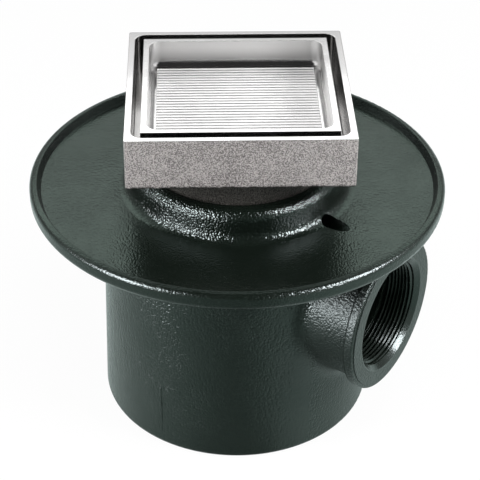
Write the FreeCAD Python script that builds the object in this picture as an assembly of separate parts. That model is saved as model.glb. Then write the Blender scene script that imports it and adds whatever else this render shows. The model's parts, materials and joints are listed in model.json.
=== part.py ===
import FreeCAD, Part
import math
import os

Vector = FreeCAD.Vector
UP = Vector(0, 0, 1)
ORIGIN = Vector(0, 0, 0)

# All sizes are in millimetres. The origin is at the centre of the bucket's underside.
# X and Y run along the sides of the square head, and Z points up.

# Bucket of the iron body
bucket_height = 131.5           # underside of the bucket to underside of the flange plate
bucket_base_radius = 77.5
bucket_top_radius = 74.5
bucket_wall = 6.0
bucket_floor = 7.0
bucket_base_edge = 3.0          # rounding of the outer bottom edge
bucket_floor_bevel = 6.0        # inside, wall to floor
plate_root_fillet = 4.0         # bucket to flange plate

# Flange plate with its raised lip
flange_radius = 115.0
flange_edge_height = 10.5
flange_edge_rounding = 3.0      # top of the edge
flange_foot_rounding = 4.0      # foot of the edge
lip_width = 4.2
lip_height = 5.0
lip_fall = 1.2                  # fall of the lip's top towards the edge
lip_rounding = 0.8              # inner edge of the lip's top
lip_slope = 2.0                 # how far the lip's inner side runs in on its way down
plate_fall = 1.0                # fall of the plate from the lip to the neck

# Neck and the ledge inside it
neck_height = 18.0
neck_bore_radius = 51.1
neck_wall = 8.9
neck_draft = 1.0
neck_rounding = 6.5
neck_root_fillet = 6.0
neck_mouth_chamfer = 0.8
ledge_drop = 14.0               # plate top at the neck down to the ledge
ledge_width = 11.0
ledge_thickness = 6.0
ledge_bevel = 5.0               # underside of the ledge to the bucket wall

# Weep holes through the foot of the neck
weep_radius = 5.0
weep_entry = 5.0                # where a hole's axis meets the plate, out from the neck's wall
weep_slope = 27.0               # degrees below level, towards the drain's axis
weep_azimuth = -41.0            # degrees
weep_count = 2

# Side outlet with a female pipe thread
outlet_azimuth = -35.0          # degrees
outlet_height = 85.5
outlet_reach = 101.5            # drain's axis to the face of the outlet
outlet_thread_radius = 30.1     # root of the thread
outlet_thread_depth = 20.0
outlet_mouth_chamfer = 2.6
outlet_bore_radius = 27.5       # behind the thread
boss_wall = 9.2
boss_root_fillet = 11.0
bead_width = 6.5
bead_height = 4.0
bead_rounding = 2.2
face_step = 0.5                 # machined face stands this much proud of the bead
face_margin = 2.1               # bead's edge to the machined face

# Trap tube and its seal, hung on the ledge
seal_thickness = 2.0
seal_margin = 0.6               # ledge's inner edge to the seal
tube_clearance = 2.0            # tube to the ledge's hole
tube_wall = 2.5
tube_flange_thickness = 3.0
tube_flange_margin = 5.1        # tube flange to the neck's bore
tube_floor_gap = 13.0
tube_lead_in = 1.2

# Square strainer head with its threaded shank
head_side = 119.1
head_height = 28.3
head_wall = 3.4
head_floor = 4.0
head_corner_radius = 6.0        # inner upright corners
head_edge_rounding = 1.2        # outer upright edges
head_floor_fillet = 0.4
head_lift = 16.0                # underside of the head above the neck, at rest
shank_clearance = 0.3
shank_wall = 4.8
shank_engagement = 13.0
shank_lead_in = 1.5

# Tile tray, resting on four pads of the head
slot_width = 4.9
tray_wall = 3.2
tray_depth = 15.0
tray_floor = 3.0
tray_corner_radius = 6.0        # inner upright corners
tray_floor_fillet = 4.0
rib_pitch = 2.89
rib_height = 0.7
rib_land = 1.9                  # width of a rib's flat top
rib_flank = 0.3                 # run of each sloping side of a rib
pad_radius = 5.0
pad_inset = 6.3                 # tray's side to the middle of a pad

# Heights and widths that follow
flange_top = bucket_height + flange_edge_height
plate_top = flange_top - lip_height
plate_top_at_neck = plate_top - plate_fall
neck_radius = neck_bore_radius + neck_wall
neck_top = plate_top_at_neck + neck_height
ledge_top = plate_top_at_neck - ledge_drop
ledge_bottom = ledge_top - ledge_thickness
ledge_hole_radius = neck_bore_radius - ledge_width
boss_radius = outlet_thread_radius + boss_wall
bead_radius = boss_radius + bead_height
seal_top = ledge_top + seal_thickness
tube_radius = ledge_hole_radius - tube_clearance
tube_flange_radius = neck_bore_radius - tube_flange_margin
shank_radius = neck_bore_radius - shank_clearance
head_bottom = neck_top + head_lift
head_top = head_bottom + head_height
head_floor_top = head_bottom + head_floor
head_opening = head_side - 2 * head_wall
tray_side = head_opening - 2 * slot_width
tray_opening = tray_side - 2 * tray_wall
tray_floor_top = head_top - tray_depth
tray_bottom = tray_floor_top - tray_floor


def bucket_radius(height):
    """Outer radius of the bucket's sloping wall at a height."""
    share = height / bucket_height
    return bucket_base_radius + share * (bucket_top_radius - bucket_base_radius)


def rounded_face(corners):
    """Face in the XZ plane through (x, z, rounding) corners, each rounded by a tangent arc."""
    count = len(corners)
    points = [Vector(x, 0, z) for x, z, rounding in corners]
    starts, middles, ends = [], [], []
    for i in range(count):
        corner, rounding = points[i], corners[i][2]
        back = points[i - 1] - corner
        ahead = points[(i + 1) % count] - corner
        half = back.getAngle(ahead) / 2
        trim = min(rounding / math.tan(half), 0.48 * min(back.Length, ahead.Length))
        radius = trim * math.tan(half)
        back.normalize()
        ahead.normalize()
        inward = (back + ahead).normalize()
        starts.append(corner + back * trim)
        ends.append(corner + ahead * trim)
        middles.append(corner + inward * (radius / math.sin(half) - radius))
    edges = []
    for i in range(count):
        if corners[i][2] > 0:
            edges.append(Part.Arc(starts[i], middles[i], ends[i]).toShape())
        edges.append(Part.makeLine(ends[i], starts[(i + 1) % count]))
    return Part.Face(Part.Wire(edges))


def turned(corners, axis=UP):
    """Solid of revolution of a rounded outline."""
    return rounded_face(corners).revolve(ORIGIN, axis, 360)


def centred_block(side, bottom, top):
    """Square block about the drain's axis."""
    return Part.makeBox(side, side, top - bottom, Vector(-side / 2, -side / 2, bottom))


def upright_edges(shape):
    """Straight edges that run along Z."""
    return [e for e in shape.Edges
            if abs(e.tangentAt(e.FirstParameter).z) > 0.999 and len(e.Vertexes) == 2]


def level_edges(shape, height):
    """Edges that lie at one height."""
    return [e for e in shape.Edges
            if abs(e.BoundBox.ZMin - height) < 1e-6 and abs(e.BoundBox.ZMax - height) < 1e-6]


def at_outlet(shape):
    """Move a shape built along +X to the outlet's axis."""
    shape.rotate(ORIGIN, UP, outlet_azimuth)
    shape.translate(Vector(0, 0, outlet_height))
    return shape


def outlet_boss():
    """Outlet boss with the rounded bead and the machined face at its mouth."""
    bead_back = outlet_reach - bead_width
    bead_front = outlet_reach - face_step
    face_radius = bead_radius - face_margin
    return at_outlet(turned([
        (bucket_wall, 0, 0),
        (outlet_reach, 0, 0),
        (outlet_reach, face_radius, 0),
        (bead_front, face_radius, 0),
        (bead_front, bead_radius, bead_rounding),
        (bead_back, bead_radius, bead_rounding),
        (bead_back, boss_radius, 0),
        (bucket_wall, boss_radius, 0),
    ], Vector(1, 0, 0)))


def outlet_passage():
    """Hollow of the outlet: chamfered mouth, thread root and the bore behind it."""
    thread_end = outlet_reach - outlet_thread_depth
    mouth_radius = outlet_thread_radius + outlet_mouth_chamfer
    return at_outlet(turned([
        (bucket_wall, 0, 0),
        (outlet_reach + face_step, 0, 0),
        (outlet_reach + face_step, mouth_radius, 0),
        (outlet_reach, mouth_radius, 0),
        (outlet_reach - outlet_mouth_chamfer, outlet_thread_radius, 0),
        (thread_end, outlet_thread_radius, 0),
        (thread_end, outlet_bore_radius, 0),
        (bucket_wall, outlet_bore_radius, 0),
    ], Vector(1, 0, 0)))


def bucket_with_boss():
    """Filled bucket, blended into the outlet boss and cut off inside the flange plate."""
    tall = bucket_height + bucket_base_radius
    bucket = turned([
        (0, 0, 0),
        (bucket_base_radius, 0, bucket_base_edge),
        (bucket_radius(tall), tall, 0),
        (0, tall, 0),
    ])
    joined = bucket.fuse(outlet_boss()).removeSplitter()
    axis_point = Vector(0, 0, outlet_height)
    axis = Vector(math.cos(math.radians(outlet_azimuth)), math.sin(math.radians(outlet_azimuth)), 0)
    root = []
    for edge in joined.Edges:
        middle = edge.valueAt((edge.FirstParameter + edge.LastParameter) / 2)
        off_axis = middle.distanceToLine(axis_point, axis)
        off_bucket = math.hypot(middle.x, middle.y) - bucket_radius(middle.z)
        if abs(off_axis - boss_radius) < 1e-3 and abs(off_bucket) < 1e-3:
            root.append(edge)
    blended = joined.makeFillet(boss_root_fillet, root)
    above = centred_block(4 * flange_radius, plate_top_at_neck - plate_fall, 2 * tall)
    return blended.cut(above)


def flange_and_neck():
    """Filled flange plate with its lip, and the neck that stands on it."""
    lip_inside = flange_radius - lip_width
    core_radius = bucket_top_radius - bucket_wall
    return turned([
        (0, ledge_bottom, 0),
        (core_radius, ledge_bottom, 0),
        (bucket_radius(bucket_height), bucket_height, plate_root_fillet),
        (flange_radius, bucket_height, flange_foot_rounding),
        (flange_radius, flange_top - lip_fall, flange_edge_rounding),
        (lip_inside, flange_top, lip_rounding),
        (lip_inside - lip_slope, plate_top, 0),
        (neck_radius, plate_top_at_neck, neck_root_fillet),
        (neck_radius - neck_draft, neck_top, neck_rounding),
        (0, neck_top, 0),
    ])


def body_hollow():
    """Hollow of the body: bucket, ledge hole and neck bore with its chamfered mouth."""
    mouth_radius = neck_bore_radius + neck_mouth_chamfer
    wall_foot = bucket_floor + bucket_floor_bevel
    wall_head = ledge_bottom - ledge_bevel
    return turned([
        (0, bucket_floor, 0),
        (bucket_radius(bucket_floor) - bucket_wall - bucket_floor_bevel, bucket_floor, 0),
        (bucket_radius(wall_foot) - bucket_wall, wall_foot, 0),
        (bucket_radius(wall_head) - bucket_wall, wall_head, 0),
        (bucket_radius(ledge_bottom) - bucket_wall - ledge_bevel, ledge_bottom, 0),
        (ledge_hole_radius, ledge_bottom, 0),
        (ledge_hole_radius, ledge_top, 0),
        (neck_bore_radius, ledge_top, 0),
        (neck_bore_radius, neck_top - neck_mouth_chamfer, 0),
        (mouth_radius, neck_top, 0),
        (mouth_radius, neck_top + neck_height, 0),
        (0, neck_top + neck_height, 0),
    ])


def weep_holes():
    """Sloping drilled holes that lead water from the plate into the neck."""
    slope = math.radians(weep_slope)
    entry_radius = neck_radius + weep_entry
    inward = entry_radius - neck_bore_radius + ledge_width / 2
    outward = weep_radius / math.sin(slope) + weep_radius
    drill = Part.makeCylinder(weep_radius, (inward + outward) / math.cos(slope))
    drill.rotate(ORIGIN, Vector(0, 1, 0), -90 - weep_slope)
    start_height = plate_top_at_neck + outward * math.tan(slope)
    drill.translate(Vector(entry_radius + outward, 0, start_height))
    holes = []
    for i in range(weep_count):
        hole = drill.copy()
        hole.rotate(ORIGIN, UP, weep_azimuth + i * 360 / weep_count)
        holes.append(hole)
    return holes


def drain_body():
    """Cast-iron body: trap bucket, outlet, flange plate and neck in one casting."""
    casting = bucket_with_boss().fuse(flange_and_neck())
    casting = casting.cut([body_hollow(), outlet_passage()] + weep_holes())
    return casting.removeSplitter()


def trap_seal():
    """Flat ring between the ledge and the flange of the trap tube."""
    inner = ledge_hole_radius + seal_margin
    ring = Part.makeCylinder(tube_flange_radius, seal_thickness, Vector(0, 0, ledge_top))
    return ring.cut(Part.makeCylinder(inner, seal_thickness, Vector(0, 0, ledge_top)))


def trap_tube():
    """Dip tube of the water trap, with the flange that it hangs by."""
    inner = tube_radius - tube_wall
    bottom = bucket_floor + tube_floor_gap
    flange_face = seal_top + tube_flange_thickness
    return turned([
        (inner, bottom, 0),
        (tube_radius, bottom, 0),
        (tube_radius, seal_top, 0),
        (tube_flange_radius, seal_top, 0),
        (tube_flange_radius, flange_face, 0),
        (inner + tube_lead_in, flange_face, 0),
        (inner, flange_face - tube_lead_in, 0),
    ])


def pad_places():
    """Middles of the four pads under the corners of the tray."""
    offset = tray_side / 2 - pad_inset
    return [(sx * offset, sy * offset) for sx in (-1, 1) for sy in (-1, 1)]


def strainer_head():
    """Square head: open frame, floor with tray pads, and the shank that screws into the neck."""
    shank_bottom = neck_top - shank_engagement
    bore_radius = shank_radius - shank_wall
    pocket = centred_block(head_opening, head_floor_top, head_top + head_wall)
    pocket = pocket.makeFillet(head_corner_radius, upright_edges(pocket))
    pocket = pocket.makeFillet(head_floor_fillet, level_edges(pocket, head_floor_top))
    shank = turned([
        (0, shank_bottom, 0),
        (shank_radius - shank_lead_in, shank_bottom, 0),
        (shank_radius, shank_bottom + shank_lead_in, 0),
        (shank_radius, head_bottom + head_floor / 2, 0),
        (0, head_bottom + head_floor / 2, 0),
    ])
    bore = Part.makeCylinder(bore_radius, head_top, Vector(0, 0, shank_bottom))
    block = centred_block(head_side, head_bottom, head_top)
    block = block.makeFillet(head_edge_rounding, upright_edges(block))
    head = block.cut(pocket).fuse(shank).cut(bore)
    pad_bottom = head_floor_top - head_floor / 2
    for x, y in pad_places():
        pad = Part.makeCylinder(pad_radius, tray_bottom - pad_bottom, Vector(x, y, pad_bottom))
        head = head.fuse(pad)
    return head.removeSplitter()


def tray_ribs():
    """Parallel ribs on the tray's floor that key the bedding mortar."""
    length = tray_opening - 2 * tray_floor_fillet
    count = int(length / rib_pitch)
    foot = rib_land / 2 + rib_flank
    top = tray_floor_top + rib_height
    root = tray_floor_top - tray_floor / 2
    ribs = []
    for i in range(count):
        middle = (i - (count - 1) / 2) * rib_pitch
        section = Part.makePolygon([
            Vector(-length / 2, middle - foot, root),
            Vector(-length / 2, middle - foot, tray_floor_top),
            Vector(-length / 2, middle - rib_land / 2, top),
            Vector(-length / 2, middle + rib_land / 2, top),
            Vector(-length / 2, middle + foot, tray_floor_top),
            Vector(-length / 2, middle + foot, root),
            Vector(-length / 2, middle - foot, root),
        ])
        ribs.append(Part.Face(section).extrude(Vector(length, 0, 0)))
    return ribs


def tile_tray():
    """Square tray that takes a piece of floor tile, with a ribbed floor."""
    pocket = centred_block(tray_opening, tray_floor_top, head_top + tray_wall)
    pocket = pocket.makeFillet(tray_corner_radius, upright_edges(pocket))
    pocket = pocket.makeFillet(tray_floor_fillet, level_edges(pocket, tray_floor_top))
    tray = centred_block(tray_side, tray_bottom, head_top).cut(pocket)
    return tray.fuse(tray_ribs()).removeSplitter()


pieces = {
    "drain_body": drain_body(),
    "trap_seal": trap_seal(),
    "trap_tube": trap_tube(),
    "strainer_head": strainer_head(),
    "tile_tray": tile_tray(),
}

os.makedirs("parts", exist_ok=True)
for name, shape in pieces.items():
    shape.exportStep("parts/" + name + ".step")
    print(name, shape.isValid(), len(shape.Solids), round(shape.Volume / 1000, 1), "cm3")
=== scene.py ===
import json
import math

import bmesh
import bpy
from mathutils import Matrix, Vector


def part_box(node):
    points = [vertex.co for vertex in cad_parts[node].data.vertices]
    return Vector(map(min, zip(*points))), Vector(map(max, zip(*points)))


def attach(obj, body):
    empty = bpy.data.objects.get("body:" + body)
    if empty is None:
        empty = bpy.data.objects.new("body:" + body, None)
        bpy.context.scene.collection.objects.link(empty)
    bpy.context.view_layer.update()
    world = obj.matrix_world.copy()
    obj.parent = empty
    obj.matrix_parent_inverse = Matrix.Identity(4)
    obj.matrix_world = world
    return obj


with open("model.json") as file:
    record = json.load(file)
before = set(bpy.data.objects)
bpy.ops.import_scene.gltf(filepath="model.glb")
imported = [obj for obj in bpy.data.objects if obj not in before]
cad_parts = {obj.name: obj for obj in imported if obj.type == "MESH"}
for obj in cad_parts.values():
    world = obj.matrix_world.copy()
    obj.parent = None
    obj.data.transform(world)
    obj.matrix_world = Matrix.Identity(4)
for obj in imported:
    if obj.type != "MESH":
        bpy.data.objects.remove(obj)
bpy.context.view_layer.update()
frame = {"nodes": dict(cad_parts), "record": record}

# Looks of a cast-iron floor drain with a tile-in head: finishes, thread, seam, floor, light and camera.
# Lengths are in metres and angles in degrees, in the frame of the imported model.
# A span is the stretch over which a finish changes.
# A noise is given by its features per metre, its detail and its roughness.
MM = 0.001
FADE_OUT = (1.0, 0.0)

# Camera, fitted to the outlines of flange, bucket, head and outlet in the 480 by 480 photograph
CAMERA_TARGET_HEIGHT = 142 * MM
CAMERA_DISTANCE = 889.9 * MM
CAMERA_ELEVATION = 32.22
CAMERA_AZIMUTH = -1.84
CAMERA_TILT = -2.43
CAMERA_PAN = -0.11
CAMERA_ROLL = -0.37
CAMERA_NEAR = 10 * MM
FOCAL_PIXELS = 1601.9
IMAGE_PIXELS = 480
SENSOR_WIDTH = 36.0             # in millimetres, as Blender takes it

# Pipe thread in the side outlet
THREAD_PITCH = 2.209 * MM
THREAD_DEPTH = 1.15 * MM
THREAD_ROOT_SHARE = 0.9         # of the pitch
THREAD_CREST_SHARE = 0.06       # of the pitch
THREAD_SINK = 0.2 * MM          # into the wall
THREAD_SEGMENTS = 96            # in a turn
THREAD_FADE_TURNS = 0.4         # run-out at both ends
THREAD_LAST_FADE = 0.02         # added at the last end
THREAD_LEAST_FADE = 0.05
THREAD_WORN_HEIGHT = 0.82       # share of the depth that wear has left
THREAD_WAVE = 0.13              # share of the depth
THREAD_WAVES = 3                # in a turn
THREAD_WAVE_DRIFT = 0.9         # radians from turn to turn
THREAD_RIPPLE = 0.05            # share of the depth
THREAD_RIPPLES = 11             # in a turn

# Casting seam low on the bucket
SEAM_AZIMUTH = -125.0           # from the drain's right, towards its back
SEAM_BOTTOM = 7 * MM
SEAM_TOP = 42 * MM
SEAM_WIDTH = 1.5 * MM
SEAM_CREST_WIDTH = 0.5 * MM
SEAM_HEIGHT = 0.45 * MM
SEAM_SINK = 0.2 * MM            # into the wall
SEAM_UNEVENNESS = 0.25          # share of the height
SEAM_LUMP_PHASE = 23            # radians along the seam
SEAM_WANDER = 0.35 * MM
SEAM_WANDER_PHASE = 5           # radians along the seam
SEAM_END_POWER = 0.4            # of the sine that lowers both ends
SEAM_STEPS = 40
SEAM_RAY_START = 0.2            # from the drain's axis, outside the bucket

# Colours, linear
ENAMEL = (0.0040, 0.0062, 0.0046)
ENAMEL_SHEEN = (0.78, 1.0, 0.92)
CAST_BRONZE = (0.645, 0.60, 0.59)
CAST_BRONZE_DARK = (0.19, 0.173, 0.169)
# Painted shade: the shank under the head, its specks and the head's bottom edge take these far darker
# bronzes.
SHADED_SHANK_BRONZE = (0.13, 0.124, 0.113)
DEEP_SHADE_BRONZE = (0.026, 0.025, 0.022)
MACHINED_BRONZE = (0.58, 0.572, 0.565)
# Painted shade for the grooves between the tray's ribs.
GROOVE_SHADE = (0.29, 0.285, 0.28)
POLISHED_BRONZE = (0.955, 0.95, 0.945)
TUBE_BLACK = (0.022, 0.022, 0.024)
RUBBER_BLACK = (0.016, 0.016, 0.016)
WHITE = (1.0, 1.0, 1.0)
FLOOR = (0.80, 0.80, 0.80)
FLOOR_GLOW = (0.86, 1.0, 0.97)
BACK_GLINT = (0.40, 1.0, 0.64)
SIDE_GLINT = (1.0, 0.87, 0.96)

# All finishes
EDGE_SAMPLES = 4
DOME_SMOOTHNESS = 0.35
NOISE_MEAN = 0.5
COATING_IOR = 1.5

# Iron coating: places where it changes. Along the outlet, places count from the middle of its thread.
NECK_EDGE_SPAN = (62 * MM, 69 * MM)         # out from the drain's axis
NECK_FOOT_SPAN = (136 * MM, 139 * MM)       # height
NECK_WIDTH_SPAN = (-25 * MM, 15 * MM)       # left to right
BUCKET_TOP_SPAN = (126 * MM, 131 * MM)      # height
BOSS_TOP_SPAN = (127 * MM, 131 * MM)        # height
BOSS_ROOT_SPAN = (-23 * MM, -14 * MM)       # along the outlet
BORE_WALL_SPAN = (0.4 * MM, 1.2 * MM)       # outside the thread's root
MOUTH_WALL_SPAN = (2.8 * MM, 3.2 * MM)      # outside the thread's root
BORE_MOUTH_SPAN = (0.05, 0.55)              # along the outlet, in lengths of its thread
BORE_END_SPAN = (-2.0, -1.5)                # along the outlet, in lengths of its thread
MOUTH_END_SPAN = (-0.8, -0.6)               # along the outlet, in lengths of its thread

# Iron coating: grain and gloss
PEBBLE_SCALE = 880.0                        # pebbles per metre
PEBBLE_HEIGHT = 0.55 * MM
FINE_PEBBLE_NOISE = (1800.0, 2.0, 0.5)
FINE_PEBBLE_SHARE = 0.3
BUCKET_GRAIN = 0.80
PLATE_GRAIN = 0.32
NECK_GRAIN = (1.25, 0.55)                   # left and right
BOSS_GRAIN = 0.62
TURNED_GRAIN = 0.15
PATCH_NOISE = (34.0, 3.0, 0.5)
PATCH_SPAN = (0.28, 0.70)
PATCH_GRAIN = (0.55, 1.0)
LUMP_NOISE = (38.0, 2.0, 0.5)
LUMP_HEIGHT = 1.6 * MM
LUMP_STRENGTH = 0.12
PEEL_NOISE = (420.0, 2.0, 0.5)
PEEL_HEIGHT = 0.4 * MM
PEEL_STRENGTH = 0.06
IRON_EDGE = 0.5 * MM
ENAMEL_TONE_NOISE = (60.0, 3.0, 0.5)
ENAMEL_TONES = (0.8, 1.25)
ENAMEL_GLOSS_NOISE = (90.0, 3.0, 0.5)
ENAMEL_GLOSS_SPAN = (0.3, 0.7)
ENAMEL_ROUGHNESS = (0.18, 0.25)
NECK_ROUGHNESS = 0.14
BOSS_ROUGHNESS = 0.38
ENAMEL_SPECULAR = 0.5
BORE_SHADE_SPECULAR = 0.17

# Sizes of the head and tray that part their finishes
FRAME_WALL = 3.4 * MM
HEAD_HEIGHT = 28.3 * MM
TRAY_WALL = 3.2 * MM
TRAY_DEPTH = 15.0 * MM

# Head: places where its finish changes, grain and gloss
INNER_WALL_SPAN = (0.2 * MM, 0.6 * MM)      # into the frame's wall
HEAD_FLOOR_SPAN = (1.5 * MM, 2.5 * MM)      # from the head's underside
SHANK_TOP_SPAN = (-1.0 * MM, -0.2 * MM)     # from the head's underside
# The next span is where painted shade darkens the head's bottom edge.
SHADED_EDGE_SPAN = (-1.5 * MM, -0.3 * MM)     # from the head's underside, once the ragged height is taken off
HEAD_RIM_SPAN = (-0.35 * MM, -0.1 * MM)     # from the head's top
SAND_NOISE = (1600.0, 3.0, 0.65)
CRUMB_NOISE = (750.0, 2.0, 0.6)
SAND_HEIGHT = 0.6 * MM
SAND_STRENGTH = 0.9
CAST_SPECKLE_SPAN = (0.40, 0.60)
SHANK_SPECKLE_SPAN = (0.38, 0.62)
WEATHER_NOISE = (55.0, 4.0, 0.6)
WEATHER_SHARE = 0.14
RAGGED_NOISE = (260.0, 3.0, 0.7)
RAGGED_HEIGHT = 3.0 * MM
HEAD_EDGE = 0.6 * MM
CAST_ROUGHNESS = 0.55
INNER_WALL_ROUGHNESS = 0.20
RIM_ROUGHNESS = 0.07
CAST_METAL = 0.5

# Tray: places where its finish changes, grain and gloss
POCKET_WALL_SPAN = (0.3 * MM, 0.6 * MM)     # into the tray's wall
TRAY_RIM_SPAN = (-0.3 * MM, -0.1 * MM)      # from the tray's top
RIB_FIELD_SPAN = (-4.2 * MM, -3.9 * MM)     # from the tray's inner wall
GROOVE_SPAN = (0.1 * MM, 0.5 * MM)          # above the tray's floor
WALL_FOOT_SPAN = (2.5 * MM, 12.0 * MM)      # above the tray's floor
WALL_FRONT_SPAN = (5 * MM, 35 * MM)         # front to back
UPRIGHT_SPAN = (0.25, 0.80)                 # of the normal's rise or fall
LEVEL_SPAN = (0.90, 0.99)                   # of the normal's rise
END_WALL_SPAN = (0.5, 0.9)                  # of the normal's run to the front or back
WALL_FOOT_SHADE = (0.75, 0.0)
BRUSH_SCALES = (40.0, 900.0, 900.0)
BRUSH_NOISE = (1.0, 3.0, 0.5)               # in the space that the brush scales stretch
BRUSH_HEIGHT = 0.05 * MM
BRUSH_STRENGTH = 0.12
STAIN_NOISE = (70.0, 4.0, 0.6)
STAIN_TONE_SPAN = (0.35, 0.7)
STAIN_GLOSS_SPAN = (0.3, 0.75)
STAIN_GROOVE_SHADE_SPAN = (0.25, 0.6)
GROOVE_SHADE_SHARE = (1.0, 0.55)
STAINED_TONE = 0.93
# Painted shade on the pocket's walls, as shares of the polished tone.
SIDE_WALL_BACK_SHADE = 0.72
END_WALL_SHADE = 0.88
WALL_FOOT_SHADE_TONE = 0.42
POLISH_ROUGHNESS = (0.08, 0.14)
SATIN_ROUGHNESS = 0.33
RIB_ROUGHNESS = 0.40
SIDE_WALL_FROST = 0.5
FROST_SHARE = 0.75                          # how far a frosted place is from bare metal
TRAY_EDGE = 0.5 * MM

# Trap insert
MOULDED_TONES = (0.8, 1.2)
MOULDED_GLOSS_NOISE = (120.0, 2.0, 0.5)
MOULDED_GLOSS_SPAN = (0.3, 0.7)
MOULDED_GRAIN_HEIGHT = 0.1 * MM
MOULDED_GRAIN_STRENGTH = 0.4
TUBE_GRAIN_NOISE = (500.0, 3.0, 0.5)
TUBE_ROUGHNESS = (0.32, 0.45)
RUBBER_GRAIN_NOISE = (800.0, 3.0, 0.5)
RUBBER_ROUGHNESS = (0.6, 0.75)

# Studio: floor, light on matt surfaces, and tones that only reflections show.
# The floor's tones run from the left of the drain to the right, as (place, tone).
FLOOR_SIDE = 40.0
FLOOR_LEAST_REACH = 1 * MM
FLOOR_WHITE_SHARE = 0.95
FLOOR_BEHIND_SPAN = (0.0, 0.15)             # front to back
FLOOR_TONES = (
    (0.0, 0.82), (0.25, 0.60), (0.40, 0.37), (0.55, 0.32), (0.68, 0.66), (0.80, 0.86), (1.0, 0.95),
)
AMBIENT = 0.30
CAMERA_SIDE_TONE = 0.05
CAMERA_SIDE_SPAN = (0.30, 0.52)             # of the direction's run to the left or right
BACK_SIDE_SPAN = (0.15, 0.45)               # of the direction's run to the back
HORIZON_TONE = 0.40
HORIZON_LOW = 24.5
HORIZON_HIGH = 29.0
CEILING_TONE = 0.03
CEILING_LEAN = 20.0                         # from upright towards the camera
CEILING_SPAN = (0.70, 0.90)                 # of the direction's run to the ceiling's middle


def shifted(span, start):
    """A span counted from a start."""
    return [start + place for place in span]


def scaled(span, unit):
    """A span given in some unit."""
    return [unit * place for place in span]


def rgba(colour, share=1.0):
    """A share of a colour, with full opacity."""
    return (*[share * channel for channel in colour], 1.0)


class Nodes:
    """Short way to write a shader tree: makes nodes, sets their sockets and links them."""

    def __init__(self, tree):
        self.tree = tree
        tree.nodes.clear()

    def add(self, kind, settings=None, **inputs):
        """Node with properties and inputs set; an input's name has _ in place of a blank."""
        node = self.tree.nodes.new(kind)
        for name, value in (settings or {}).items():
            setattr(node, name, value)
        for name, value in inputs.items():
            self.put(node, name.replace("_", " "), value)
        return node

    def put(self, node, name, value):
        """Link an output to the input with that name or number, or set the input to a constant."""
        socket = node.inputs[name]
        if isinstance(value, bpy.types.NodeSocket):
            self.tree.links.new(value, socket)
        else:
            socket.default_value = value

    def math(self, operation, a, b=0.0):
        node = self.add("ShaderNodeMath", {"operation": operation})
        self.put(node, 0, a)
        self.put(node, 1, b)
        return node.outputs[0]

    def plus(self, a, b):
        return self.math("ADD", a, b)

    def minus(self, a, b):
        return self.math("SUBTRACT", a, b)

    def times(self, a, b):
        return self.math("MULTIPLY", a, b)

    def larger(self, a, b):
        return self.math("MAXIMUM", a, b)

    def absolute(self, a):
        return self.math("ABSOLUTE", a)

    def square(self, a):
        return self.math("POWER", a, 2.0)

    def root(self, a):
        return self.math("SQRT", a)

    def ramp(self, value, span, levels=(0.0, 1.0)):
        """Smooth step between two levels while the value crosses the span."""
        node = self.add("ShaderNodeMapRange", {"interpolation_type": "SMOOTHSTEP"}, Value=value)
        for name, number in zip(("From Min", "From Max", "To Min", "To Max"), (*span, *levels)):
            self.put(node, name, number)
        return node.outputs[0]

    def noise(self, where, pattern):
        scale, detail, roughness = pattern
        node = self.add("ShaderNodeTexNoise", Scale=scale, Detail=detail, Roughness=roughness)
        self.put(node, "Vector", where)
        return node.outputs["Fac"]

    def domes(self, where, scale):
        """Packed round bumps."""
        node = self.add("ShaderNodeTexVoronoi", {"feature": "SMOOTH_F1"}, Scale=scale)
        self.put(node, "Smoothness", DOME_SMOOTHNESS)
        self.put(node, "Vector", where)
        return self.minus(1.0, self.square(node.outputs["Distance"]))

    def vector_math(self, operation, a, b):
        node = self.add("ShaderNodeVectorMath", {"operation": operation})
        self.put(node, 0, a)
        self.put(node, 1, b)
        return node.outputs

    def dot(self, a, b):
        return self.vector_math("DOT_PRODUCT", a, b)["Value"]

    def mix(self, factor, a, b):
        """Blend of two colours, which are inputs 6 and 7 of Blender's Mix node."""
        node = self.add("ShaderNodeMix", {"data_type": "RGBA"})
        self.put(node, 0, factor)
        self.put(node, 6, a)
        self.put(node, 7, b)
        return node.outputs[2]

    def blend(self, factor, a, b):
        """Blend of two numbers, which are inputs 2 and 3 of Blender's Mix node."""
        node = self.add("ShaderNodeMix", {"data_type": "FLOAT"})
        self.put(node, 0, factor)
        self.put(node, 2, a)
        self.put(node, 3, b)
        return node.outputs[0]

    def mix_shaders(self, factor, a, b):
        node = self.add("ShaderNodeMixShader")
        self.put(node, 0, factor)
        self.put(node, 1, a.outputs[0])
        self.put(node, 2, b.outputs[0])
        return node

    def bump(self, height, distance, strength, normal=None):
        node = self.add("ShaderNodeBump", Height=height, Distance=distance, Strength=strength)
        if normal is not None:
            self.put(node, "Normal", normal)
        return node.outputs[0]

    def soft_edges(self, radius):
        """Normals that round sharp edges off."""
        return self.add("ShaderNodeBevel", {"samples": EDGE_SAMPLES}, Radius=radius).outputs[0]

    def object_place(self):
        return self.add("ShaderNodeTexCoord").outputs["Object"]

    def split(self, vector):
        return self.add("ShaderNodeSeparateXYZ", Vector=vector).outputs

    def off_upright(self, axis):
        """Distance from the drain's upright axis."""
        return self.root(self.plus(self.square(axis[0]), self.square(axis[1])))

    def off_sides(self, axis):
        """Distance from the drain's upright axis, measured square to the sides of the head."""
        return self.larger(self.absolute(axis[0]), self.absolute(axis[1]))


def new_material(name):
    """An empty node material and its tree."""
    material = bpy.data.materials.new(name)
    material.use_nodes = True
    return material, Nodes(material.node_tree)


def finish_material(nodes, shader):
    """Connect the shader to the material's output."""
    out = nodes.add("ShaderNodeOutputMaterial")
    nodes.put(out, "Surface", shader.outputs[0])


def outlet_mount():
    """Middle, axis, length and root radius of the outlet's threaded bore, from the record."""
    mount = next(m for m in frame["record"]["mounts"] if m["name"] == "outlet_thread")
    middle = Vector(mount["pos_m"])
    outward = Vector(mount["axis"]).normalized()
    return middle, outward, mount["dims"]["length_mm"] * MM, mount["dims"]["r_mm"] * MM


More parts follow.
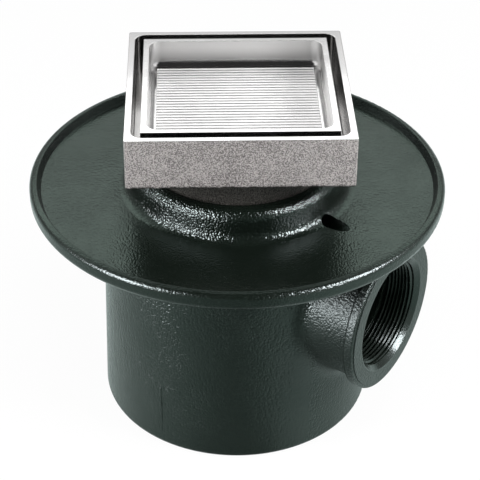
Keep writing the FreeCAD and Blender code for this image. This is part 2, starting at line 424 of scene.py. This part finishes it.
def outlet_regions(n, place, height):
    """Masks of the outlet: its bore behind the mouth, which takes painted shade, all that is turned in it,
    and the boss around it.
    """
    middle, outward, length, root = outlet_mount()
    from_middle = n.vector_math("SUBTRACT", place, middle)["Vector"]
    along = n.dot(from_middle, outward)
    off_axis = n.root(n.minus(n.dot(from_middle, from_middle), n.square(along)))
    bore = n.ramp(off_axis, shifted(BORE_WALL_SPAN, root), FADE_OUT)
    bore_shade = n.times(bore, n.ramp(along, scaled(BORE_MOUTH_SPAN, length), FADE_OUT))
    bore_shade = n.times(bore_shade, n.ramp(along, scaled(BORE_END_SPAN, length)))
    turned = n.ramp(off_axis, shifted(MOUTH_WALL_SPAN, root), FADE_OUT)
    turned = n.times(turned, n.ramp(along, scaled(MOUTH_END_SPAN, length)))
    boss = n.times(n.ramp(along, BOSS_ROOT_SPAN), n.ramp(height, BOSS_TOP_SPAN, FADE_OUT))
    return bore_shade, turned, boss


def enamel():
    """Glossy green-black coating over cast iron: smooth plate, grainy bucket, pebbled neck and boss,
    painted shade in the bore.
    """
    material, n = new_material("black_enamel")
    place = n.object_place()
    axis = n.split(place)
    above_plate = n.ramp(axis[2], NECK_FOOT_SPAN)
    neck = n.times(n.ramp(n.off_upright(axis), NECK_EDGE_SPAN, FADE_OUT), above_plate)
    bore_shade, turned, boss = outlet_regions(n, place, axis[2])

    patches = n.ramp(n.noise(place, PATCH_NOISE), PATCH_SPAN, PATCH_GRAIN)
    patches = n.times(patches, n.blend(turned, 1.0, TURNED_GRAIN))
    plain = n.ramp(axis[2], BUCKET_TOP_SPAN, (BUCKET_GRAIN, PLATE_GRAIN))
    coarse = n.blend(boss, n.ramp(axis[0], NECK_WIDTH_SPAN, NECK_GRAIN), BOSS_GRAIN)
    depth = n.times(n.blend(n.larger(neck, boss), plain, coarse), patches)
    fine_pebbles = n.times(n.noise(place, FINE_PEBBLE_NOISE), FINE_PEBBLE_SHARE)
    pebbles = n.plus(n.domes(place, PEBBLE_SCALE), fine_pebbles)
    waved = n.bump(n.noise(place, LUMP_NOISE), LUMP_HEIGHT, LUMP_STRENGTH, n.soft_edges(IRON_EDGE))
    peeled = n.bump(n.noise(place, PEEL_NOISE), PEEL_HEIGHT, PEEL_STRENGTH, waved)
    grain = n.bump(pebbles, PEBBLE_HEIGHT, depth, peeled)

    dark, light = [rgba(ENAMEL, share) for share in ENAMEL_TONES]
    tone = n.mix(n.noise(place, ENAMEL_TONE_NOISE), dark, light)
    gloss = n.ramp(n.noise(place, ENAMEL_GLOSS_NOISE), ENAMEL_GLOSS_SPAN, ENAMEL_ROUGHNESS)
    gloss = n.blend(neck, gloss, NECK_ROUGHNESS)
    gloss = n.blend(n.minus(boss, turned), gloss, BOSS_ROUGHNESS)
    shader = n.add("ShaderNodeBsdfPrincipled", Base_Color=tone, Roughness=gloss, Normal=grain)
    n.put(shader, "IOR", COATING_IOR)
    n.put(shader, "Specular Tint", rgba(ENAMEL_SHEEN))
    # Painted shade: the coating reflects much less deep inside the outlet's bore.
    n.put(shader, "Specular IOR Level", n.blend(bore_shade, ENAMEL_SPECULAR, BORE_SHADE_SPECULAR))
    finish_material(n, shader)
    return material


def cast_bronze(head_top, head_bottom, inner_half):
    """Sand-cast nickel bronze of the head, with a polished rim, bright inner walls, a shank coloured dark
    as painted shade under the head, and painted shade along its bottom edge.
    """
    material, n = new_material("cast_nickel_bronze")
    place = n.object_place()
    axis = n.split(place)
    inside = n.ramp(n.off_sides(axis), shifted(INNER_WALL_SPAN, inner_half), FADE_OUT)
    above_floor = n.ramp(axis[2], shifted(HEAD_FLOOR_SPAN, head_bottom))
    shank = n.ramp(axis[2], shifted(SHANK_TOP_SPAN, head_bottom), FADE_OUT)
    rim = n.ramp(axis[2], shifted(HEAD_RIM_SPAN, head_top))
    smooth = n.larger(n.times(inside, above_floor), rim)

    sand = n.noise(place, SAND_NOISE)
    crumbs = n.noise(place, CRUMB_NOISE)
    weather = n.times(n.minus(n.noise(place, WEATHER_NOISE), NOISE_MEAN), WEATHER_SHARE)
    speckle = n.ramp(n.plus(sand, weather), CAST_SPECKLE_SPAN)
    cast = n.mix(speckle, rgba(CAST_BRONZE_DARK), rgba(CAST_BRONZE))
    # Painted shade: a ragged band along the head's bottom edge darkens into the deepest shade bronze.
    ragged = n.minus(axis[2], n.times(n.noise(place, RAGGED_NOISE), RAGGED_HEIGHT))
    shaded_edge = n.ramp(ragged, shifted(SHADED_EDGE_SPAN, head_bottom), FADE_OUT)
    cast = n.mix(shaded_edge, cast, rgba(DEEP_SHADE_BRONZE))
    # Painted shade: the shank under the head is coloured far darker than the head's sides.
    turned = n.mix(n.ramp(sand, SHANK_SPECKLE_SPAN), rgba(DEEP_SHADE_BRONZE), rgba(SHADED_SHANK_BRONZE))
    machined = n.mix(rim, rgba(MACHINED_BRONZE), rgba(POLISHED_BRONZE))
    tone = n.mix(smooth, n.mix(shank, cast, turned), machined)

    strength = n.times(n.minus(1.0, smooth), SAND_STRENGTH)
    grain = n.bump(n.plus(sand, crumbs), SAND_HEIGHT, strength, n.soft_edges(HEAD_EDGE))
    roughness = n.blend(smooth, CAST_ROUGHNESS, n.blend(rim, INNER_WALL_ROUGHNESS, RIM_ROUGHNESS))
    metal = n.blend(smooth, CAST_METAL, 1.0)
    shader = n.add("ShaderNodeBsdfPrincipled", Base_Color=tone, Roughness=roughness, Normal=grain)
    n.put(shader, "Metallic", metal)
    finish_material(n, shader)
    return material


def polished_bronze(inner_half, rim_height):
    """Polished nickel bronze of the tile tray: satin inner walls with painted shade, darker towards the
    back and the foot, frosted ribs, and dark grooves between, coloured as painted shade.
    """
    material, n = new_material("polished_nickel_bronze")
    place = n.object_place()
    axis = n.split(place)
    facing = n.split(n.add("ShaderNodeNewGeometry").outputs["Normal"])
    floor_height = rim_height - TRAY_DEPTH
    side = n.off_sides(axis)
    inside = n.ramp(side, shifted(POCKET_WALL_SPAN, inner_half), FADE_OUT)
    pocket = n.times(inside, n.ramp(axis[2], shifted(TRAY_RIM_SPAN, rim_height), FADE_OUT))
    ribs = n.times(pocket, n.ramp(side, shifted(RIB_FIELD_SPAN, inner_half), FADE_OUT))
    grooves = n.times(ribs, n.ramp(axis[2], shifted(GROOVE_SPAN, floor_height), FADE_OUT))
    satin = n.times(n.minus(pocket, ribs), n.ramp(n.absolute(facing[2]), UPRIGHT_SPAN, FADE_OUT))
    end_wall = n.ramp(n.absolute(facing[1]), END_WALL_SPAN)
    foot_shade = n.ramp(axis[2], shifted(WALL_FOOT_SPAN, floor_height), WALL_FOOT_SHADE)
    front = n.ramp(axis[1], WALL_FRONT_SPAN, FADE_OUT)

    stains = n.noise(place, STAIN_NOISE)
    stained = n.ramp(stains, STAIN_TONE_SPAN)
    clean = n.mix(stained, rgba(POLISHED_BRONZE, STAINED_TONE), rgba(POLISHED_BRONZE))
    # Painted shade on the pocket's walls: side walls darker towards the back, end walls darker, and darker
    # still towards their foot.
    shaded_walls = n.mix(front, rgba(POLISHED_BRONZE, SIDE_WALL_BACK_SHADE), rgba(POLISHED_BRONZE))
    shaded_walls = n.mix(end_wall, shaded_walls, rgba(POLISHED_BRONZE, END_WALL_SHADE))
    shaded_walls = n.mix(n.times(end_wall, foot_shade), shaded_walls, rgba(POLISHED_BRONZE, WALL_FOOT_SHADE_TONE))
    # Painted shade in the grooves between the ribs, lighter where the stain noise is high.
    groove_shade = n.times(grooves, n.ramp(stains, STAIN_GROOVE_SHADE_SPAN, GROOVE_SHADE_SHARE))
    tone = n.mix(groove_shade, n.mix(satin, clean, shaded_walls), rgba(GROOVE_SHADE))

    polish = n.blend(satin, n.ramp(stains, STAIN_GLOSS_SPAN, POLISH_ROUGHNESS), SATIN_ROUGHNESS)
    roughness = n.blend(ribs, polish, RIB_ROUGHNESS)
    side_wall = n.times(n.times(satin, n.minus(1.0, end_wall)), n.times(front, SIDE_WALL_FROST))
    frosted = n.larger(n.times(ribs, n.ramp(facing[2], LEVEL_SPAN)), side_wall)
    metal = n.minus(1.0, n.times(frosted, FROST_SHARE))
    stretched = n.add("ShaderNodeMapping", Vector=place, Scale=BRUSH_SCALES).outputs[0]
    lines = n.noise(stretched, BRUSH_NOISE)
    drawn = n.bump(lines, BRUSH_HEIGHT, BRUSH_STRENGTH, n.soft_edges(TRAY_EDGE))
    shader = n.add("ShaderNodeBsdfPrincipled", Base_Color=tone, Roughness=roughness, Normal=drawn)
    n.put(shader, "Metallic", metal)
    finish_material(n, shader)
    return material


def moulded(name, colour, roughness_levels, grain_noise):
    """A dark moulded surface, plastic or rubber, with a fine grain."""
    material, n = new_material(name)
    place = n.object_place()
    speck = n.noise(place, grain_noise)
    dark, light = [rgba(colour, share) for share in MOULDED_TONES]
    tone = n.mix(speck, dark, light)
    roughness = n.ramp(n.noise(place, MOULDED_GLOSS_NOISE), MOULDED_GLOSS_SPAN, roughness_levels)
    shader = n.add("ShaderNodeBsdfPrincipled", Base_Color=tone, Roughness=roughness, IOR=COATING_IOR)
    n.put(shader, "Normal", n.bump(speck, MOULDED_GRAIN_HEIGHT, MOULDED_GRAIN_STRENGTH))
    finish_material(n, shader)
    return material


def dress(node_name, material):
    """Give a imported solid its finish."""
    materials = frame["nodes"][node_name].data.materials
    if not materials:
        materials.append(material)
    for place in range(len(materials)):
        materials[place] = material


def new_piece(name, mesh_builder, material, body):
    """Turn a bmesh into a piece that rides on a body and takes the given finish."""
    mesh = bpy.data.meshes.new(name)
    bmesh.ops.recalc_face_normals(mesh_builder, faces=mesh_builder.faces)
    mesh_builder.to_mesh(mesh)
    mesh_builder.free()
    mesh.materials.append(material)
    piece = bpy.data.objects.new(name, mesh)
    bpy.context.scene.collection.objects.link(piece)
    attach(piece, body)
    return piece


def bridge_rings(builder, rings):
    """Faces between closed rings of vertices in a row, with a cap at each end."""
    for before, after in zip(rings, rings[1:]):
        count = len(before)
        for i in range(count):
            j = (i + 1) % count
            builder.faces.new((before[i], before[j], after[j], after[i]))
    builder.faces.new(rings[0])
    builder.faces.new(list(reversed(rings[-1])))


def outlet_thread(material):
    """Helical ridge of the pipe thread, a little worn and sunk into the wall of the outlet's bore."""
    mount_middle, axis, length, root = outlet_mount()
    start = mount_middle - axis * (length - THREAD_PITCH) / 2
    across = axis.cross(Vector((0, 0, 1))).normalized()
    upright = across.cross(axis)
    turns = (length - THREAD_PITCH) / THREAD_PITCH
    steps = int(turns * THREAD_SEGMENTS)
    half_root = THREAD_ROOT_SHARE * THREAD_PITCH / 2
    half_crest = THREAD_CREST_SHARE * THREAD_PITCH / 2
    builder = bmesh.new()
    rings = []
    for step in range(steps + 1):
        turn = step / THREAD_SEGMENTS
        angle = 2 * math.pi * turn
        last_fade = (turns - turn) / THREAD_FADE_TURNS + THREAD_LAST_FADE
        fade = max(min(1.0, turn / THREAD_FADE_TURNS, last_fade), THREAD_LEAST_FADE)
        wave = THREAD_WAVE * math.sin(THREAD_WAVES * angle + THREAD_WAVE_DRIFT * turn)
        ripple = THREAD_RIPPLE * math.sin(THREAD_RIPPLES * angle)
        crest = root - THREAD_DEPTH * fade * (THREAD_WORN_HEIGHT + wave + ripple)
        outward = across * math.cos(angle) + upright * math.sin(angle)
        middle = start + axis * (turn * THREAD_PITCH)
        section = ((root + THREAD_SINK, -half_root), (crest, -half_crest), (crest, half_crest),
                   (root + THREAD_SINK, half_root))
        rings.append([builder.verts.new(middle + outward * r + axis * a) for r, a in section])
    bridge_rings(builder, rings)
    return new_piece("outlet_thread_ridge", builder, material, "body")


def bucket_radius(height, outward):
    """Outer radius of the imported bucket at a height, on the side that outward points to."""
    far = outward * SEAM_RAY_START + Vector((0, 0, height))
    hit, place, _, _ = frame["nodes"]["drain_body"].ray_cast(far, -outward)
    return place.to_2d().length if hit else 0.0


def casting_seam(material):
    """Thin raised line that the mould's parting left low on the bucket."""
    angle = math.radians(SEAM_AZIMUTH)
    outward = Vector((math.cos(angle), math.sin(angle), 0))
    along = Vector((-math.sin(angle), math.cos(angle), 0))
    half_width = SEAM_WIDTH / 2
    half_crest = SEAM_CREST_WIDTH / 2
    builder = bmesh.new()
    rings = []
    for step in range(SEAM_STEPS + 1):
        share = step / SEAM_STEPS
        height = SEAM_BOTTOM + (SEAM_TOP - SEAM_BOTTOM) * share
        uneven = 1 - SEAM_UNEVENNESS + SEAM_UNEVENNESS * math.sin(SEAM_LUMP_PHASE * share)
        rise = SEAM_HEIGHT * math.sin(math.pi * share) ** SEAM_END_POWER * uneven
        radius = bucket_radius(height, outward)
        wander = SEAM_WANDER * math.sin(SEAM_WANDER_PHASE * share)
        centre = Vector((0, 0, height)) + along * wander
        section = ((-SEAM_SINK, -half_width), (rise, -half_crest), (rise, half_crest),
                   (-SEAM_SINK, half_width))
        rings.append([builder.verts.new(centre + outward * (radius + r) + along * a) for r, a in section])
    bridge_rings(builder, rings)
    return new_piece("bucket_seam", builder, material, "body")


def floor():
    """Pale floor: white with a faint shadow for the camera, toned like a studio's in reflections."""
    bpy.ops.mesh.primitive_plane_add(size=FLOOR_SIDE)
    plane = bpy.context.object
    plane.name = "floor"
    material, n = new_material("floor_white")
    path = n.add("ShaderNodeLightPath").outputs
    reflected = path["Is Glossy Ray"]
    seen = n.larger(path["Is Camera Ray"], path["Is Transmission Ray"])
    axis = n.split(n.object_place())
    across = n.math("DIVIDE", axis[0], n.larger(n.off_upright(axis), FLOOR_LEAST_REACH))
    left_to_right = n.times(n.plus(across, 1.0), 0.5)
    tones = n.add("ShaderNodeFloatCurve", Value=left_to_right)
    curve = tones.mapping.curves[0]
    curve.points[0].location = FLOOR_TONES[0]
    curve.points[1].location = FLOOR_TONES[-1]
    for spot in FLOOR_TONES[1:-1]:
        curve.points.new(*spot)
    tones.mapping.update()
    mirrored = n.blend(n.ramp(axis[1], FLOOR_BEHIND_SPAN), tones.outputs[0], 1.0)
    glow = n.blend(reflected, 1.0, mirrored)
    hue = n.mix(reflected, rgba(WHITE), rgba(FLOOR_GLOW))
    white = n.add("ShaderNodeEmission", Color=hue, Strength=glow)
    matt = n.add("ShaderNodeBsdfDiffuse", Color=rgba(FLOOR))
    share = n.larger(n.times(seen, FLOOR_WHITE_SHARE), reflected)
    finish_material(n, n.mix_shaders(share, matt, white))
    plane.data.materials.append(material)


def surroundings():
    """White studio, in reflections dark around the camera, at the ceiling and low behind the drain."""
    world = bpy.data.worlds.new("studio")
    bpy.context.scene.world = world
    world.use_nodes = True
    n = Nodes(world.node_tree)
    path = n.add("ShaderNodeLightPath").outputs
    direction = n.add("ShaderNodeTexCoord").outputs["Generated"]
    axis = n.split(direction)
    walls = n.ramp(n.absolute(axis[0]), CAMERA_SIDE_SPAN, (CAMERA_SIDE_TONE, 1.0))
    horizon_span = [math.sin(math.radians(rise)) for rise in (HORIZON_LOW, HORIZON_HIGH)]
    horizon = n.ramp(axis[2], horizon_span, (HORIZON_TONE, 1.0))
    sides = n.blend(n.ramp(axis[1], BACK_SIDE_SPAN), walls, horizon)
    lean = math.radians(CEILING_LEAN)
    above = n.dot(direction, Vector((0.0, -math.sin(lean), math.cos(lean))))
    mirrored = n.blend(n.ramp(above, CEILING_SPAN), sides, CEILING_TONE)
    glossy = n.add("ShaderNodeBackground", Strength=mirrored)
    white = n.add("ShaderNodeBackground", Strength=1.0)
    ambient = n.add("ShaderNodeBackground", Strength=AMBIENT)
    seen = n.larger(path["Is Camera Ray"], path["Is Transmission Ray"])
    plain = n.mix_shaders(seen, ambient, white)
    studio = n.mix_shaders(path["Is Glossy Ray"], plain, glossy)
    out = n.add("ShaderNodeOutputWorld")
    n.put(out, "Surface", studio.outputs[0])


def softbox(name, azimuth, elevation, distance, size, power, mirrored=True, glint_on=None, colour=WHITE):
    """Rectangular studio lamp that looks at the drain; azimuth 0 is on the camera's side, 90 on the right.

    A lamp that isn't mirrored shows in no gloss.
    A lamp with glint_on lights no matt surface and shows only in the gloss of those pieces.
    """
    lamp = bpy.data.lights.new(name, "AREA")
    lamp.shape = "RECTANGLE"
    lamp.size, lamp.size_y = size
    lamp.energy = power
    lamp.color = colour
    holder = bpy.data.objects.new(name, lamp)
    turn, rise = math.radians(azimuth), math.radians(elevation)
    away = Vector((math.sin(turn) * math.cos(rise), -math.cos(turn) * math.cos(rise), math.sin(rise)))
    aim = Vector((0, 0, CAMERA_TARGET_HEIGHT))
    holder.location = aim + away * distance
    holder.rotation_euler = away.to_track_quat("Z", "Y").to_euler()
    holder.visible_glossy = mirrored
    if glint_on:
        holder.visible_diffuse = False
        holder.light_linking.receiver_collection = glint_on
    bpy.context.scene.collection.objects.link(holder)


def lamps(iron_pieces):
    """Soft boxes for the whole drain, and lamps that only glint in the iron's coating."""
    softbox("softbox_left", azimuth=-70.0, elevation=18.0, distance=1.1, size=(0.32, 0.44), power=11.0,
            mirrored=False)
    softbox("softbox_right", azimuth=66.0, elevation=30.0, distance=1.1, size=(0.46, 0.32), power=12.0,
            mirrored=False)
    softbox("softbox_front", azimuth=10.0, elevation=64.0, distance=1.3, size=(0.7, 0.5), power=8.5,
            mirrored=False)
    softbox("softbox_back", azimuth=180.0, elevation=41.5, distance=1.4, size=(2.6, 0.52), power=3.9)
    softbox("glint_back", azimuth=180.0, elevation=41.5, distance=1.3, size=(2.4, 0.48), power=1.5,
            glint_on=iron_pieces, colour=BACK_GLINT)
    softbox("glint_left", azimuth=-57.0, elevation=18.0, distance=1.0, size=(0.45, 0.60), power=26.0,
            glint_on=iron_pieces, colour=SIDE_GLINT)
    softbox("glint_right", azimuth=66.0, elevation=30.0, distance=1.0, size=(0.42, 0.40), power=20.0,
            glint_on=iron_pieces, colour=SIDE_GLINT)
    softbox("glint_low", azimuth=-57.0, elevation=9.0, distance=0.95, size=(0.60, 0.36), power=2.4,
            glint_on=iron_pieces, colour=SIDE_GLINT)


def camera():
    """Camera at the photograph's viewing angle."""
    lens = bpy.data.cameras.new("camera")
    lens.sensor_width = SENSOR_WIDTH
    lens.lens = FOCAL_PIXELS / IMAGE_PIXELS * SENSOR_WIDTH
    lens.clip_start = CAMERA_NEAR
    eye = bpy.data.objects.new("camera", lens)
    turn, rise = math.radians(CAMERA_AZIMUTH), math.radians(CAMERA_ELEVATION)
    away = Vector((0, -math.cos(rise), math.sin(rise))) * CAMERA_DISTANCE
    swing = Matrix.Rotation(turn, 4, "Z")
    place = Matrix.Translation(swing @ away + Vector((0, 0, CAMERA_TARGET_HEIGHT)))
    aim = Matrix.Rotation(math.pi / 2 - rise + math.radians(CAMERA_TILT), 4, "X")
    aim = aim @ Matrix.Rotation(math.radians(CAMERA_PAN), 4, "Y")
    aim = aim @ Matrix.Rotation(-math.radians(CAMERA_ROLL), 4, "Z")
    eye.matrix_world = place @ swing @ aim
    bpy.context.scene.collection.objects.link(eye)
    bpy.context.scene.camera = eye


head_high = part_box("strainer_head")[1]
tray_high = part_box("tile_tray")[1]
iron = enamel()
dress("drain_body", iron)
dress("strainer_head", cast_bronze(head_high.z, head_high.z - HEAD_HEIGHT, head_high.x - FRAME_WALL))
dress("tile_tray", polished_bronze(tray_high.x - TRAY_WALL, tray_high.z))
dress("trap_tube", moulded("tube_plastic", TUBE_BLACK, TUBE_ROUGHNESS, TUBE_GRAIN_NOISE))
dress("trap_seal", moulded("seal_rubber", RUBBER_BLACK, RUBBER_ROUGHNESS, RUBBER_GRAIN_NOISE))
iron_collection = bpy.data.collections.new("iron_pieces")
for piece in (frame["nodes"]["drain_body"], outlet_thread(iron), casting_seam(iron)):
    iron_collection.objects.link(piece)

floor()
surroundings()
lamps(iron_collection)
camera()
bpy.context.scene.view_settings.view_transform = "Standard"
